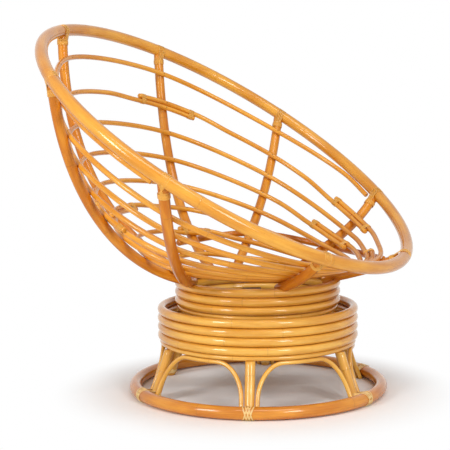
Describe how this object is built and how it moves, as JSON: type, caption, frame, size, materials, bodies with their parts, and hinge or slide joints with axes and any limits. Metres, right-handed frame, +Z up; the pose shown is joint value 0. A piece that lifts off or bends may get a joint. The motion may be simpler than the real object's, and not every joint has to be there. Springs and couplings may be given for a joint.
{
  "type": "papasan chair",
  "caption": "Rattan papasan chair: a tilted round bowl of ribs and hoops on a drum of stacked poles that swivels and rocks on a splayed base with a floor ring.",
  "frame": {"origin": "on the floor, below the middle of the tilted rim", "axes": "+Z up, -Y toward the low front of the bowl, +X to the sitter's left"},
  "size_m": [1.1002, 0.9206, 0.957],
  "materials": {
    "rim_rattan": "gloss varnish over thick rattan pole",
    "rib_rattan": "gloss varnish over reddish rattan pole",
    "hoop_rattan": "gloss varnish over thin rattan pole",
    "stack_rattan": "gloss varnish over honey-coloured rattan pole",
    "peel": "split rattan peel",
    "board_wood": "rough sawn, stained dark",
    "black_steel": "black paint on pressed steel",
    "plain_steel": "plain steel"
  },
  "bodies": {
    "base": {"floor_ring": "rim_rattan", "leg_1": "stack_rattan", "leg_2": "stack_rattan", "leg_3": "stack_rattan", "leg_4": "stack_rattan", "leg_5": "stack_rattan", "leg_6": "stack_rattan", "arch_1": "stack_rattan", "arch_2": "stack_rattan", "arch_3": "stack_rattan", "arch_4": "stack_rattan", "arch_5": "stack_rattan", "arch_6": "stack_rattan", "base_thin_ring": "stack_rattan", "base_ring_1": "stack_rattan", "base_ring_2": "stack_rattan", "base_ring_3": "stack_rattan", "base_ring_4": "stack_rattan", "base_board_1": "board_wood", "base_board_2": "board_wood", "swivel_base_plate": "black_steel", "swivel_bearing": "plain_steel"},
    "swivel": {"swivel_head": "black_steel", "pivot_pin": "plain_steel", "rock_spring_front": "plain_steel", "rock_spring_rear": "plain_steel"},
    "seat": {"rocker_plate": "black_steel", "seat_board_1": "board_wood", "seat_board_2": "board_wood", "seat_thin_ring": "stack_rattan", "seat_ring_1": "stack_rattan", "seat_ring_2": "stack_rattan", "seat_ring_3": "stack_rattan", "rib_1": "rib_rattan", "rib_2": "rib_rattan", "rib_3": "rib_rattan", "rib_4": "rib_rattan", "rib_5": "rib_rattan", "rib_6": "rib_rattan", "rib_7": "rib_rattan", "rib_8": "rib_rattan", "hoop_1": "hoop_rattan", "hoop_2": "hoop_rattan", "hoop_3": "hoop_rattan", "hoop_4": "hoop_rattan", "hoop_5": "hoop_rattan", "hoop_6": "hoop_rattan", "hoop_7": "hoop_rattan", "hoop_8": "hoop_rattan", "outer_brace": "rib_rattan", "rim": "rim_rattan", "rim_lashing_1": "peel", "rim_lashing_2": "peel", "rim_lashing_3": "peel", "rim_lashing_4": "peel", "rim_lashing_5": "peel", "rim_lashing_6": "peel", "rim_lashing_7": "peel", "rim_lashing_8": "peel"}
  },
  "joints": [
    {"name": "swivel", "type": "hinge", "parent": "base", "child": "swivel", "pos_m": [0, -0.076, 0.155], "axis": [0, 0, 1], "continuous": true},
    {"name": "rock", "type": "hinge", "parent": "swivel", "child": "seat", "pos_m": [0, -0.076, 0.1887], "axis": [1, 0, 0], "range_deg": [-8, 8], "stiffness_Nm_per_rad": 400, "springref_deg": 0.74, "deforming": ["rock_spring_front", "rock_spring_rear"]}
  ]
}
